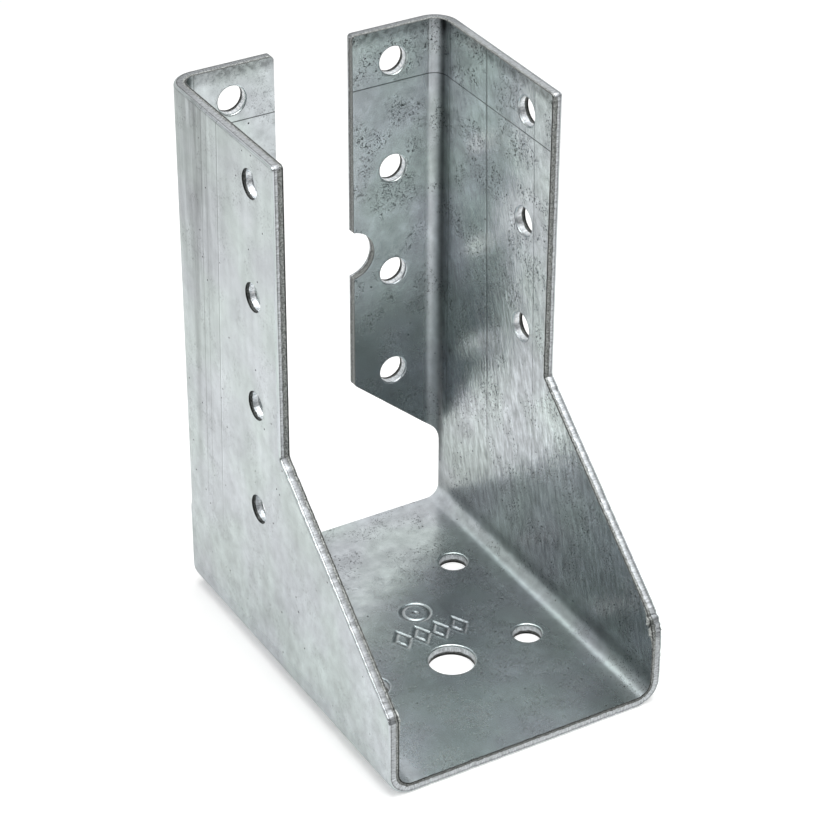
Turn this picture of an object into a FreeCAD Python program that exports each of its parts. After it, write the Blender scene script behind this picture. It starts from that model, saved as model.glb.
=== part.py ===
import FreeCAD, Part
import math
import os
import Sketcher

# A joist hanger with inward flanges, folded from one punched blank of galvanised steel sheet.
# The seat lies flat with a cheek bent up at each side. At the back, each cheek turns inwards into
# a flange that is nailed to the header, and the joist drops in between the cheeks from above.
# Millimetres. X runs across the seat, Z is up, and the back of the flanges faces +Y.
# While it is drawn, Y is 0 on the header face. The finished part is then moved so that its
# origin is under the middle of the seat.

SIZES = [
    ("sheet_thickness", 2.0, "thickness of the sheet"),
    ("inside_width", 48.0, "clear width between the cheeks, for the joist"),
    ("hanger_height", 97.0, "underside of the seat to the top edge"),
    ("seat_depth", 71.5, "header face to the front edge of the seat"),
    ("cheek_depth", 36.5, "header face to the upright front edge of the cheeks"),
    ("kink_height", 45.0, "where the front edge of a cheek starts to slant out"),
    ("nose_height", 15.5, "where the slant meets the front edge of the seat"),
    ("back_setback", 2.8, "header face to the raw back edge of seat and lower cheeks"),
    ("seat_bend_radius", 2.5, "inside radius of the bends between seat and cheeks"),
    ("flange_bend_radius", 2.5, "inside radius of the bends between cheeks and flanges"),
    ("flange_gap", 14.5, "gap between the two flanges"),
    ("toe_height", 30.0, "lower end of a flange at its inner edge"),
    ("toe_slope", 41.0, "fall of a flange's lower edge towards the cheek, in degrees"),
    ("relief_radius", 3.0, "corner relief under the flange bend"),
    ("unbent_height", 17.5, "top of the strip behind the bend line that stays flat"),
    ("unbent_run_out", 2.5, "height over which that strip dies into the bend"),
    ("corner_radius", 0.6, "outer corners of the blank"),
    ("kink_radius", 1.0, "inner corner where the slant starts"),
    ("nose_radius", 1.5, "outer corner where the slant ends"),
    ("nail_diameter", 5.0, "nail holes"),
    ("nail_pitch", 20.0, "height between one row of nails and the next"),
    ("top_nail_drop", 6.0, "top edge to the first row of nails"),
    ("header_nail_rows", 4, "nail holes in each flange"),
    ("header_nail_spacing", 30.0, "distance across between the nails of the two flanges"),
    ("joist_nail_setback", 29.0, "header face to the nails in the cheeks"),
    ("left_nail_rows", 4, "nail holes in the left cheek"),
    ("right_nail_rows", 3, "nail holes in the right cheek"),
    ("notch_diameter", 9.0, "round notch in the inner edge of each flange"),
    ("notch_height", 56.0, "height of the notch's centre"),
    ("notch_offset", 0.5, "how far the notch's centre lies outside the flange's edge"),
    ("seat_bolt_diameter", 8.0, "large hole in the seat"),
    ("seat_row_setback", 47.0, "header face to the row of three holes in the seat"),
    ("seat_rear_setback", 22.5, "header face to the rear pair of nail holes in the seat"),
    ("seat_nail_spacing", 30.0, "distance across between the nail holes of a pair"),
    ("seat_hole_shift", 0.4, "sideways error of the seat's holes against the bends"),
    ("edge_roll", 0.4, "rounding that the shears leave on the outer face's edges"),
    ("hole_roll", 0.25, "how far the punches draw in the inner face round a hole"),
]

MARGIN = 5.0        # how far an outline runs past the place where it cuts or joins the sheet
TOLERANCE = 1e-4    # largest distance at which two places count as the same

doc = FreeCAD.newDocument("joist_hanger")


def make_sheet():
    """The spreadsheet of driving dimensions: name, value and meaning."""
    sheet = doc.addObject("Spreadsheet::Sheet", "Sizes")
    for row, (alias, value, meaning) in enumerate(SIZES, start=1):
        sheet.set(f"A{row}", alias)
        sheet.set(f"B{row}", str(value))
        sheet.setAlias(f"B{row}", alias)
        sheet.set(f"C{row}", meaning)
    doc.recompute()
    return sheet


sheet = make_sheet()

# Places that several features share, written in terms of the driving dimensions.
INNER = "Sizes.inside_width / 2"
OUTER = f"({INNER} + Sizes.sheet_thickness)"
HEIGHT = "Sizes.hanger_height"
FLANGE_EDGE = "Sizes.flange_gap / 2"
FLANGE_BEND = "(Sizes.sheet_thickness + Sizes.flange_bend_radius)"
SEAT_BEND = "(Sizes.sheet_thickness + Sizes.seat_bend_radius)"
TOE_AT_CHEEK = f"(Sizes.toe_height - ({INNER} - {FLANGE_EDGE}) * tan(Sizes.toe_slope * 1 deg))"
RELIEF_TANGENT = "(Sizes.relief_radius * tan(45 deg - Sizes.toe_slope * 0.5 deg))"
RELIEF_FOOT = f"({TOE_AT_CHEEK} - {RELIEF_TANGENT})"
TOP_ROW = f"({HEIGHT} - Sizes.top_nail_drop)"


def measure(expression):
    """The number that an expression of the spreadsheet gives."""
    value = sheet.evalExpression(expression)
    return float(getattr(value, "Value", value))


def size(alias):
    """One driving dimension, as a plain number."""
    return float(sheet.get(alias))


def start_sketch(body, name, plane, offset=None):
    """An empty sketch on one of the body's origin planes, moved along its normal."""
    sketch = body.newObject("Sketcher::SketchObject", name)
    support = [f for f in body.Origin.OriginFeatures if f.Role == plane]
    sketch.AttachmentSupport = [(support[0], "")]
    sketch.MapMode = "FlatFace"
    if offset:
        sketch.setExpression("AttachmentOffset.Base.z", offset)
    return sketch


def bind(sketch, constraint, expression):
    """Adds a dimension to the sketch and ties it to the spreadsheet."""
    index = sketch.addConstraint(constraint)
    sketch.setExpression(f"Constraints[{index}]", expression)


def place_point(sketch, geometry, position, x, y):
    """Fixes a point of the sketch at two expressions, measured from the sketch's origin."""
    bind(sketch, Sketcher.Constraint("DistanceX", -1, 1, geometry, position, measure(x)), x)
    bind(sketch, Sketcher.Constraint("DistanceY", -1, 1, geometry, position, measure(y)), y)


def draw_outline(sketch, corners):
    """A closed outline of straight edges. A corner is x, y and a radius, or None where it is sharp."""
    points = [FreeCAD.Vector(measure(x), measure(y), 0) for x, y, _ in corners]
    count = len(points)
    starts = list(points)
    ends = list(points)
    arcs = {}
    for i, (x, y, radius) in enumerate(corners):
        if radius is None:
            continue
        before = (points[i - 1] - points[i]).normalize()
        after = (points[(i + 1) % count] - points[i]).normalize()
        half = before.getAngle(after) / 2
        reach = measure(radius) / math.tan(half)
        ends[i] = points[i] + before * reach
        starts[i] = points[i] + after * reach
        middle = (before + after).normalize()
        centre = points[i] + middle * (measure(radius) / math.sin(half))
        deepest = centre - middle * measure(radius)
        arcs[i] = Part.Arc(ends[i], deepest, starts[i])
    lines = []
    for i in range(count):
        line = Part.LineSegment(starts[i], ends[(i + 1) % count])
        lines.append(sketch.addGeometry(line, False))
    for i, (x, y, radius) in enumerate(corners):
        into, out = lines[i - 1], lines[i]
        if radius is None:
            sketch.addConstraint(Sketcher.Constraint("Coincident", into, 2, out, 1))
            place_point(sketch, out, 1, x, y)
            continue
        arc = sketch.addGeometry(arcs[i], False)
        arc_start = FreeCAD.Vector(sketch.getPoint(arc, 1))
        first, second = (1, 2) if arc_start.distanceToPoint(ends[i]) < TOLERANCE else (2, 1)
        sketch.addConstraint(Sketcher.Constraint("Tangent", into, 2, arc, first))
        sketch.addConstraint(Sketcher.Constraint("Tangent", arc, second, out, 1))
        bind(sketch, Sketcher.Constraint("Radius", arc, measure(radius)), radius)
        corner = sketch.addGeometry(Part.Point(points[i]), True)
        sketch.addConstraint(Sketcher.Constraint("PointOnObject", corner, 1, into))
        sketch.addConstraint(Sketcher.Constraint("PointOnObject", corner, 1, out))
        place_point(sketch, corner, 1, x, y)


def draw_circle(sketch, x, y, diameter):
    """A circle whose centre and diameter follow the spreadsheet."""
    centre = FreeCAD.Vector(measure(x), measure(y), 0)
    circle = Part.Circle(centre, FreeCAD.Vector(0, 0, 1), measure(diameter) / 2)
    geometry = sketch.addGeometry(circle, False)
    place_point(sketch, geometry, 3, x, y)
    bind(sketch, Sketcher.Constraint("Diameter", geometry, measure(diameter)), diameter)


def add_pad(body, sketch, name, length):
    """Raises the sketch's outline along its normal."""
    pad = body.newObject("PartDesign::Pad", name)
    pad.Profile = sketch
    pad.setExpression("Length", length)
    doc.recompute()
    return pad


def add_pocket(body, sketch, name, length=None, backwards=False):
    """Cuts the sketch's outline out of the sheet, and checks that it took something away.

    Without a length it cuts both ways, through everything."""
    before = body.Shape.Volume
    pocket = body.newObject("PartDesign::Pocket", name)
    pocket.Profile = sketch
    if length is None:
        pocket.Type = "ThroughAll"
        pocket.SideType = "Two sides"
        pocket.Type2 = "ThroughAll"
    else:
        pocket.setExpression("Length", length)
        pocket.Reversed = backwards
    doc.recompute()
    if not pocket.Shape.Volume < before - TOLERANCE:
        raise RuntimeError(f"{name} cuts nothing")
    return pocket


def add_rows(body, cut, name, rows):
    """Repeats a cut down the sheet, one nail pitch apart."""
    before = body.Shape.Volume
    pattern = body.newObject("PartDesign::LinearPattern", name)
    pattern.Originals = [cut]
    pattern.Direction = (cut.Profile[0], ["V_Axis"])
    pattern.Reversed = True
    pattern.setExpression("Length", f"Sizes.nail_pitch * (Sizes.{rows} - 1)")
    pattern.setExpression("Occurrences", f"Sizes.{rows}")
    body.Tip = pattern
    doc.recompute()
    if not pattern.Shape.Volume < before - TOLERANCE:
        raise RuntimeError(f"{name} repeats nothing")
    return pattern


def same(first, second):
    """Whether two lengths are equal."""
    return abs(first - second) < TOLERANCE


def side_of_sheet(face):
    """Says whether a face is the outer or the inner skin of the folded sheet, or a cut wall."""
    surface = face.Surface
    thickness = size("sheet_thickness")
    inner = size("inside_width") / 2
    if isinstance(surface, Part.Plane):
        place, normal = surface.Position, surface.Axis
        for reach, axis, outer_place, inner_place in (
            (abs(place.x), normal.x, inner + thickness, inner),
            (place.y, normal.y, 0.0, -thickness),
            (place.z, normal.z, 0.0, thickness),
        ):
            if same(abs(axis), 1):
                if same(reach, outer_place):
                    return "outer"
                if same(reach, inner_place):
                    return "inner"
        return "wall"
    if isinstance(surface, Part.Cylinder):
        centre, axis = surface.Center, surface.Axis
        for bend, along, depth in (
            ("seat_bend_radius", axis.y, centre.z),
            ("flange_bend_radius", axis.z, -centre.y),
        ):
            radius = size(bend)
            if not same(abs(along), 1):
                continue
            if same(abs(centre.x), inner - radius) and same(depth, thickness + radius):
                return "inner" if same(surface.Radius, radius) else "outer"
    return "wall"


def kind_of_face(face):
    """Says what a face is: the outer or inner skin, a punched wall or a sheared wall."""
    side = side_of_sheet(face)
    if side != "wall":
        return side
    punches = ("nail_diameter", "seat_bolt_diameter", "notch_diameter")
    if isinstance(face.Surface, Part.Cylinder):
        if any(same(2 * face.Surface.Radius, size(punch)) for punch in punches):
            return "punched"
    return "sheared"


def is_between(edge, shape, first, second):
    """Whether an edge joins a face of one kind to a face of the other."""
    kinds = sorted(kind_of_face(face) for face in shape.ancestorsOfType(edge, Part.Face))
    return kinds == sorted((first, second))


def is_back_edge(edge):
    """Whether an edge runs along the raw back edge of the seat and the cheeks."""
    box = edge.BoundBox
    return same(box.YMin, -size("back_setback")) and same(box.YMax, -size("back_setback"))


def is_at_relief(edge):
    """Whether an edge lies behind the flange's bend line and below the top of the bend relief."""
    box = edge.BoundBox
    relief_top = size("unbent_height") + size("unbent_run_out")
    return box.YMin > -measure(FLANGE_BEND) - TOLERANCE and box.ZMax < relief_top + TOLERANCE


def dress_edges(body, kind, name, alias, chosen):
    """Takes off the chosen edges, by a Fillet of that Radius or a Chamfer of that Size."""
    base = body.Tip
    shape = base.Shape
    edges = [f"Edge{i}" for i, edge in enumerate(shape.Edges, start=1) if chosen(edge, shape)]
    feature = body.newObject(f"PartDesign::{kind}", name)
    feature.Base = (base, edges)
    feature.setExpression({"Fillet": "Radius", "Chamfer": "Size"}[kind], f"Sizes.{alias}")
    doc.recompute()
    return feature


def fold_sheet(body):
    """The seat and its cheeks as one bent section, then the two flanges as one bent plan each."""
    section = start_sketch(body, "seat_and_cheeks_section", "XZ_Plane", "Sizes.back_setback")
    draw_outline(section, [
        (f"-{OUTER}", HEIGHT, None),
        (f"-{OUTER}", "0", SEAT_BEND),
        (OUTER, "0", SEAT_BEND),
        (OUTER, HEIGHT, None),
        (INNER, HEIGHT, None),
        (INNER, "Sizes.sheet_thickness", "Sizes.seat_bend_radius"),
        (f"-{INNER}", "Sizes.sheet_thickness", "Sizes.seat_bend_radius"),
        (f"-{INNER}", HEIGHT, None),
    ])
    add_pad(body, section, "seat_and_cheeks", "Sizes.seat_depth - Sizes.back_setback")
    dress_edges(body, "Fillet", "rolled_back_edge", "edge_roll",
                lambda edge, shape: is_back_edge(edge) and is_between(edge, shape, "outer", "sheared"))

    # Above the relief, a cheek stops where its bend into the flange begins.
    room = start_sketch(body, "bend_room_outline", "YZ_Plane")
    draw_outline(room, [
        (f"-{FLANGE_BEND}", "Sizes.unbent_height + Sizes.unbent_run_out", None),
        ("-Sizes.back_setback", "Sizes.unbent_height", None),
        (str(MARGIN), "Sizes.unbent_height", None),
        (str(MARGIN), f"{HEIGHT} + {MARGIN}", None),
        (f"-{FLANGE_BEND}", f"{HEIGHT} + {MARGIN}", None),
    ])
    add_pocket(body, room, "bend_room")

    plan = start_sketch(body, "flange_plan", "XY_Plane", RELIEF_FOOT)
    for sign in ("", "-"):
        draw_outline(plan, [
            (f"{sign}{INNER}", f"-{FLANGE_BEND} - {MARGIN}", None),
            (f"{sign}{OUTER}", f"-{FLANGE_BEND} - {MARGIN}", None),
            (f"{sign}{OUTER}", "0", FLANGE_BEND),
            (f"{sign}{FLANGE_EDGE}", "0", None),
            (f"{sign}{FLANGE_EDGE}", "-Sizes.sheet_thickness", None),
            (f"{sign}{INNER}", "-Sizes.sheet_thickness", "Sizes.flange_bend_radius"),
        ])
    add_pad(body, plan, "flanges", f"{HEIGHT} - {RELIEF_FOOT}")


def trim_flanges(body):
    """The slanting lower edge of the flanges, and the relief that runs from it into the raw edge."""
    toe = start_sketch(body, "flange_toe_outline", "XZ_Plane", f"-{MARGIN}")
    floor = f"({RELIEF_FOOT} - {MARGIN})"
    draw_outline(toe, [
        (f"-{FLANGE_EDGE}", "Sizes.toe_height", None),
        (f"-{INNER}", TOE_AT_CHEEK, "Sizes.relief_radius"),
        (f"-{INNER}", floor, None),
        (INNER, floor, None),
        (INNER, TOE_AT_CHEEK, "Sizes.relief_radius"),
        (FLANGE_EDGE, "Sizes.toe_height", None),
    ])
    add_pocket(body, toe, "flange_toe", f"{FLANGE_BEND} + {MARGIN}", True)

    relief = start_sketch(body, "bend_relief_outline", "YZ_Plane")
    draw_circle(relief, "Sizes.relief_radius - Sizes.back_setback", RELIEF_FOOT, "2 * Sizes.relief_radius")
    add_pocket(body, relief, "bend_relief")

    for name, sign in (("right_flange_corner", ""), ("left_flange_corner", "-")):
        corner = start_sketch(body, f"{name}_outline", "XZ_Plane", f"-{MARGIN}")
        draw_outline(corner, [
            (f"{sign}{FLANGE_EDGE}", f"{HEIGHT} - 2 * Sizes.corner_radius", None),
            (f"{sign}{FLANGE_EDGE}", HEIGHT, "Sizes.corner_radius"),
            (f"{sign}({FLANGE_EDGE} + 2 * Sizes.corner_radius)", HEIGHT, None),
            (f"{sign}({FLANGE_EDGE} + 2 * Sizes.corner_radius)", f"{HEIGHT} + {MARGIN}", None),
            (f"{sign}({FLANGE_EDGE} - {MARGIN})", f"{HEIGHT} + {MARGIN}", None),
            (f"{sign}({FLANGE_EDGE} - {MARGIN})", f"{HEIGHT} - 2 * Sizes.corner_radius", None),
        ])
        add_pocket(body, corner, name, f"Sizes.sheet_thickness + {MARGIN}", True)


def trim_cheeks(body):
    """The cheeks' front outline: upright, then slanting out to the front edge of the seat."""
    front = start_sketch(body, "cheek_front_outline", "YZ_Plane")
    draw_outline(front, [
        ("-Sizes.cheek_depth + 2 * Sizes.corner_radius", f"{HEIGHT} + {MARGIN}", None),
        ("-Sizes.cheek_depth + 2 * Sizes.corner_radius", HEIGHT, None),
        ("-Sizes.cheek_depth", HEIGHT, "Sizes.corner_radius"),
        ("-Sizes.cheek_depth", "Sizes.kink_height", "Sizes.kink_radius"),
        ("-Sizes.seat_depth", "Sizes.nose_height", "Sizes.nose_radius"),
        ("-Sizes.seat_depth", "Sizes.nose_height - 2 * Sizes.nose_radius", None),
        (f"-Sizes.seat_depth - {MARGIN}", "Sizes.nose_height - 2 * Sizes.nose_radius", None),
        (f"-Sizes.seat_depth - {MARGIN}", f"{HEIGHT} + {MARGIN}", None),
    ])
    add_pocket(body, front, "cheek_front")


def punch_flanges(body):
    """The nail holes for the header, and the round notch in the inner edge of each flange."""
    for side, sign in (("right", ""), ("left", "-")):
        nail = start_sketch(body, f"{side}_header_nail_outline", "XZ_Plane", f"-{MARGIN}")
        draw_circle(nail, f"{sign}Sizes.header_nail_spacing / 2", TOP_ROW, "Sizes.nail_diameter")
        hole = add_pocket(body, nail, f"{side}_header_nail", f"Sizes.sheet_thickness + {MARGIN}", True)
        add_rows(body, hole, f"{side}_header_nails", "header_nail_rows")
        notch = start_sketch(body, f"{side}_notch_outline", "XZ_Plane", f"-{MARGIN}")
        draw_circle(notch, f"{sign}({FLANGE_EDGE} - Sizes.notch_offset)", "Sizes.notch_height",
                    "Sizes.notch_diameter")
        add_pocket(body, notch, f"{side}_notch", f"Sizes.sheet_thickness + {MARGIN}", True)


def punch_cheeks(body):
    """The nail holes for the joist. The left cheek has one row more than the right one."""
    for side, sign in (("right", ""), ("left", "-")):
        nail = start_sketch(body, f"{side}_joist_nail_outline", "YZ_Plane", f"{sign}{INNER}")
        draw_circle(nail, "-Sizes.joist_nail_setback", TOP_ROW, "Sizes.nail_diameter")
        hole = add_pocket(body, nail, f"{side}_joist_nail", "Sizes.sheet_thickness", side == "right")
        add_rows(body, hole, f"{side}_joist_nails", f"{side}_nail_rows")


def punch_seat(body):
    """The large hole of the seat, the nail hole at each side of it, and the pair behind."""
    holes = start_sketch(body, "seat_holes_outline", "XY_Plane")
    draw_circle(holes, "Sizes.seat_hole_shift", "-Sizes.seat_row_setback", "Sizes.seat_bolt_diameter")
    for setback in ("seat_row_setback", "seat_rear_setback"):
        for sign in ("+", "-"):
            draw_circle(holes, f"Sizes.seat_hole_shift {sign} Sizes.seat_nail_spacing / 2",
                        f"-Sizes.{setback}", "Sizes.nail_diameter")
    add_pocket(body, holes, "seat_holes", "Sizes.sheet_thickness", True)


def make_hanger():
    """The whole hanger: one sheet, folded, trimmed, punched and rolled over at its edges."""
    body = doc.addObject("PartDesign::Body", "hanger")
    body.Label = "hanger"
    fold_sheet(body)
    trim_flanges(body)
    trim_cheeks(body)
    punch_flanges(body)
    punch_cheeks(body)
    punch_seat(body)
    dress_edges(body, "Chamfer", "drawn_in_rims", "hole_roll",
                lambda edge, shape: is_between(edge, shape, "inner", "punched"))
    dress_edges(body, "Fillet", "rolled_outline", "edge_roll",
                lambda edge, shape: not is_at_relief(edge) and is_between(edge, shape, "outer", "sheared"))
    body.setExpression("Placement.Base.y", "Sizes.seat_depth / 2")
    return body


def check_document():
    """Stops when any feature failed or the finished sheet isn't one valid solid."""
    doc.recompute()
    for thing in doc.Objects:
        if "Invalid" in thing.State or "Error" in thing.State:
            raise RuntimeError(f"{thing.Name} failed: {thing.State}")


def export(body):
    """Writes the finished solid."""
    shape = body.Shape
    if shape.isNull() or not shape.isValid() or len(shape.Solids) != 1:
        raise RuntimeError(f"{body.Label} is not one valid solid")
    os.makedirs("parts", exist_ok=True)
    shape.exportStep(f"parts/{body.Label}.step")


hanger = make_hanger()
check_document()
export(hanger)
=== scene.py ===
"""The looks of a joist hanger folded from one blank of hot-dip galvanised sheet steel.

The sheet is made as the press shop makes it: a flat outline is laid out, punched, given the edge
that a shear or a punch leaves, and folded. Everything is in metres, in the frame of the CAD part:
X across the hanger, the header at +Y, Z up, and the floor at Z = 0.
"""

import math

import bpy
import numpy as np
from bpy.props import FloatProperty, FloatVectorProperty, IntProperty, PointerProperty
from mathutils import Matrix, Vector, noise
from mathutils.geometry import delaunay_2d_cdt


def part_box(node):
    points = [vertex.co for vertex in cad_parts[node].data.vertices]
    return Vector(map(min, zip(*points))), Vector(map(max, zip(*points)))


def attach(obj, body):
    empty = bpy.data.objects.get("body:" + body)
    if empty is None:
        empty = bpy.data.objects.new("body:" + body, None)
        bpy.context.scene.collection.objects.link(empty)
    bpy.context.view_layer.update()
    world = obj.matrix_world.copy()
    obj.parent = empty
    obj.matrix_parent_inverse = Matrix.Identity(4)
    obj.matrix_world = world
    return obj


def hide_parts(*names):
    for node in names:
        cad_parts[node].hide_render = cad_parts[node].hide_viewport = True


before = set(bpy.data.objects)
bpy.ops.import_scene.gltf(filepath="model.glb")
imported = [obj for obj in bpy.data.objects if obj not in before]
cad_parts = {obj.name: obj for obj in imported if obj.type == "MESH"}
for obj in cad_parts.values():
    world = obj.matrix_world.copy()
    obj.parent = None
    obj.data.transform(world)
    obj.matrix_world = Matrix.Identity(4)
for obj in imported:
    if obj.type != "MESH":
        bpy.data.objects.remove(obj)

bl_info = {
    "name": "Joist hanger",
    "version": (1, 0, 0),
    "blender": (4, 5, 0),
    "location": "3D View > Sidebar > Hanger",
    "description": "Folds a punched steel blank into a joist hanger and sets its stage",
    "category": "Object",
}

CAD_NODE = "hanger"
MM = 1000  # millimetres in a metre
UV_SPAN = 0.26  # metres of the blank that the UV square covers
OUTER, INNER = -1.0, 1.0  # the two skins of the sheet, which is 2 units thick
LEFT, RIGHT = -1.0, 1.0
ZINC, BURNISHED, BROKEN = 0, 1, 2

GRIP = 0.00015  # metres of flat sheet that a wall takes in beyond its rolled lip
CLEARANCE = 0.00022  # metres between an edge and the nearest point of the grid
SLACK = 0.0002  # metres by which a point counts as ahead of a line
BATCH = 2000  # points of the grid that are tested at once, to spare memory
LIP_STEPS = 5  # mesh steps round a rolled lip

# Rows down a wall's broken band: the share of the band still below, an extra depth, and the mean,
# swing, size in metres and seed of the inset, which is a share of the wall's roughness.
BROKEN_ROWS = (
    (1.00, 0.03, 0.8, 0.5, 0.0005, 1.7),
    (0.65, 0.00, 1.0, 1.3, 0.0004, 5.2),
    (0.30, 0.00, 1.0, 1.3, 0.0004, 8.4),
    (0.00, 0.00, 0.5, 0.5, 0.0006, 9.9),
)

# The stamp on the seat, in metres: a ringed dot over a row of lozenges, which stand for nothing.
STAMP_LOW, STAMP_HIGH = (-0.0085, -0.0080), (0.0115, 0.0075)  # corners (s, v) of its window
STAMP_STEP = 0.00020  # mesh spacing in the window
STAMP_DEPTH, STROKE = 0.00014, 0.00040  # a stroke's depth, half its width
STAMP_TURN = math.radians(-6)
DOT_OFFSET, RING_RADIUS = 0.0036, 0.0024
LOZENGES, PITCH, ROW_OFFSET = 4, 0.0035, 0.0026
HALF_WIDTH, HALF_LENGTH, HALF_BREADTH = 0.0014, 0.0022, 0.0012  # of a lozenge

# Sizes of the finish's patterns, in millimetres.
CLOUD, TINT, BLOTCH, STREAK, BAND, RUB = 9, 14, 2.2, 1.0, 2.6, 1.6
SPECK, CLUSTER, PIT, SMUDGE = 0.38, 6.5, 2.4, 1.0
BURNISHED_GRAIN, BROKEN_GRAIN = 0.24, 0.26
STREAK_TURN = math.radians(-16)

# Lines that the die drew along the cheeks: skin, side, setback from the header face, width, both
# in millimetres, and depth of tone, below 0 for a bright line. They lean by a share of s.
DIE_LEAN = 0.034
DIE_LINES = (
    (INNER, RIGHT, 20.30, 0.20, -0.30),
    (INNER, RIGHT, 20.75, 0.50, 0.50),
    (INNER, RIGHT, 35.40, 0.16, 0.45),
    (OUTER, LEFT, 6.10, 1.60, 0.26),
    (OUTER, LEFT, 8.70, 0.18, 0.45),
    (OUTER, LEFT, 10.50, 0.14, 0.35),
    (OUTER, LEFT, 14.10, 0.15, 0.55),
    (OUTER, LEFT, 14.45, 0.20, -0.20),
)


def linear(code):
    """A linear colour from an sRGB hex code."""
    values = [int(code[i:i + 2], 16) / 255 for i in (0, 2, 4)]
    return [v / 12.92 if v <= 0.04045 else ((v + 0.055) / 1.055) ** 2.4 for v in values] + [1.0]


def maker(kind, **settings):
    """A function that makes properties of one kind from a name, a description and a default."""
    def make(name, description, default):
        return kind(name=name, description=description, default=default, **settings)
    return make


length = maker(FloatProperty, unit="LENGTH", precision=5)
pair = maker(FloatVectorProperty, size=2, unit="LENGTH", precision=5)
point = maker(FloatVectorProperty, size=3, unit="LENGTH", precision=5)
angle = maker(FloatProperty, unit="ROTATION")
share = maker(FloatProperty, min=0, max=1, subtype="FACTOR")
number = maker(FloatProperty, min=0)
count = maker(IntProperty, min=1)
colour = maker(FloatVectorProperty, size=4, min=0, max=1, subtype="COLOR")


class HangerFold(bpy.types.PropertyGroup):
    """Sizes of the folded sheet, beyond its overall box."""

    sheet_thickness: length("Sheet thickness", "Thickness of the sheet", 0.0020)
    bend_radius: length("Bend radius", "Inside radius of every bend", 0.0025)
    cheek_depth: length("Cheek depth", "Header face to the cheek's upright front edge", 0.0365)
    kink_height: length("Kink height", "Where a cheek's front edge starts to slant", 0.0450)
    nose_height: length("Nose height", "Where the slant meets the seat's front edge", 0.0155)
    back_setback: length("Back setback", "Header face to the raw back edge", 0.0028)
    flange_gap: length("Flange gap", "Gap between the two flanges", 0.0145)
    toe_height: length("Toe height", "Lower end of a flange at its inner edge", 0.0300)
    toe_at_bend: length("Toe at the bend", "Height of that edge where the bend starts", 0.0179)
    relief_height: length("Relief height", "Height of the corner relief at the raw edge", 0.0160)
    relief_radius: length("Relief radius", "Radius of the corner relief", 0.0030)
    corner_radius: length("Corner radius", "Outer corners of the blank", 0.0006)
    kink_radius: length("Kink radius", "Inner corner where the slant starts", 0.0010)
    nose_radius: length("Nose radius", "Outer corner where the slant ends", 0.0015)
    run_out: length("Run-out", "Height over which the strip under a bend flattens out", 0.0035)
    left_rise: length("Left rise", "How much higher the left bend starts than the right", 0.0015)


class HangerPunching(bpy.types.PropertyGroup):
    """Sizes and places of the holes."""

    nail_diameter: length("Nail hole", "Diameter of the nail holes", 0.0050)
    nail_pitch: length("Nail pitch", "Height between two rows of nails", 0.0200)
    top_drop: length("Top drop", "Top edge to the first row of nails", 0.0060)
    header_spacing: length("Header spacing", "Between the nails of the two flanges", 0.0300)
    header_rows: count("Header rows", "Nail holes in each flange", 4)
    cheek_setback: length("Cheek setback", "Header face to the nails in the cheeks", 0.0290)
    left_rows: count("Left rows", "Nail holes in the left cheek", 4)
    right_rows: count("Right rows", "Nail holes in the right cheek", 3)
    notch_diameter: length("Notch", "Diameter of the notch in a flange's inner edge", 0.0090)
    notch_height: length("Notch height", "Height of the notch's centre", 0.0560)
    notch_offset: length("Notch offset", "Notch's centre beyond the flange's edge", 0.0005)
    bolt_diameter: length("Bolt hole", "Diameter of the seat's large hole", 0.0080)
    row_setback: length("Row setback", "Header face to the seat's row of three holes", 0.0470)
    rear_setback: length("Rear setback", "Header face to the seat's rear pair", 0.0225)
    seat_spacing: length("Seat spacing", "Between the nail holes of a pair in the seat", 0.0300)
    seat_shift: length("Seat shift", "Sideways error of the seat's holes", 0.0004)


class HangerEdge(bpy.types.PropertyGroup):
    """The form that shears and punches give a cut edge, and how finely the sheet is meshed."""

    shear_roll: length("Shear roll", "Width of the rolled-over lip of a sheared edge", 0.00045)
    punch_roll: length("Punch roll", "Width of the drawn-in rim of a punched hole", 0.00028)
    nose_reach: length("Nose reach", "How far the tear at a nose reaches along the edge", 0.0024)
    nose_tear: pair("Tear", "Extra roll at the left and right nose", (0.00012, 0.00030))
    nose_nicks: pair("Nicks", "Depth of the notches round them", (0.00018, 0.00060))
    nose_burr: pair("Burr", "Height of the burrs inside them", (0.00025, 0.00075))
    lip_height: share("Lip height", "Share of the thickness that the rolled lip takes", 0.20)
    shear_depth: share("Shear depth", "Share of the thickness that breaks and isn't cut", 0.50)
    slant_depth: share("Slant depth", "The same share along the slants", 0.30)
    top_depth: share("Top depth", "The same share along the top edges", 0.26)
    torn_depth: share("Torn depth", "The same share at the noses", 0.30)
    flange_depth: share("Flange depth", "The same share along the flanges' inner edges", 0.62)
    punch_depth: share("Punch depth", "The same share in a punched hole", 0.32)
    roughness: length("Roughness", "Depth of the broken band's unevenness", 0.00005)
    slant_nicks: length("Slant nicks", "Depth of the blade's nicks along the slants", 0.00008)
    skin_step: length("Skin step", "Mesh spacing on the flat sheet", 0.0010)
    edge_step: length("Edge step", "Mesh spacing along the edges", 0.00036)
    bend_steps: count("Bend steps", "Mesh steps round a bend", 14)


class HangerFinish(bpy.types.PropertyGroup):
    """Colours and roughness of the sheet and of its cut edges."""

    zinc_green: colour("Zinc, green shade", "The greener patches of the zinc", linear("BAC3C2"))
    zinc_blue: colour("Zinc, blue shade", "The bluer patches of the zinc", linear("BCC1C5"))
    zinc_roughness: share("Zinc roughness", "Roughness of the clean zinc", 0.20)
    burnished: colour("Burnished edge", "What the blade smeared", linear("C1C5C8"))
    burnished_roughness: share("Burnished roughness", "Roughness of that part", 0.42)
    broken: colour("Broken edge", "What broke off", linear("9A9D9B"))
    broken_roughness: share("Broken roughness", "Roughness of that part", 0.50)


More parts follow.
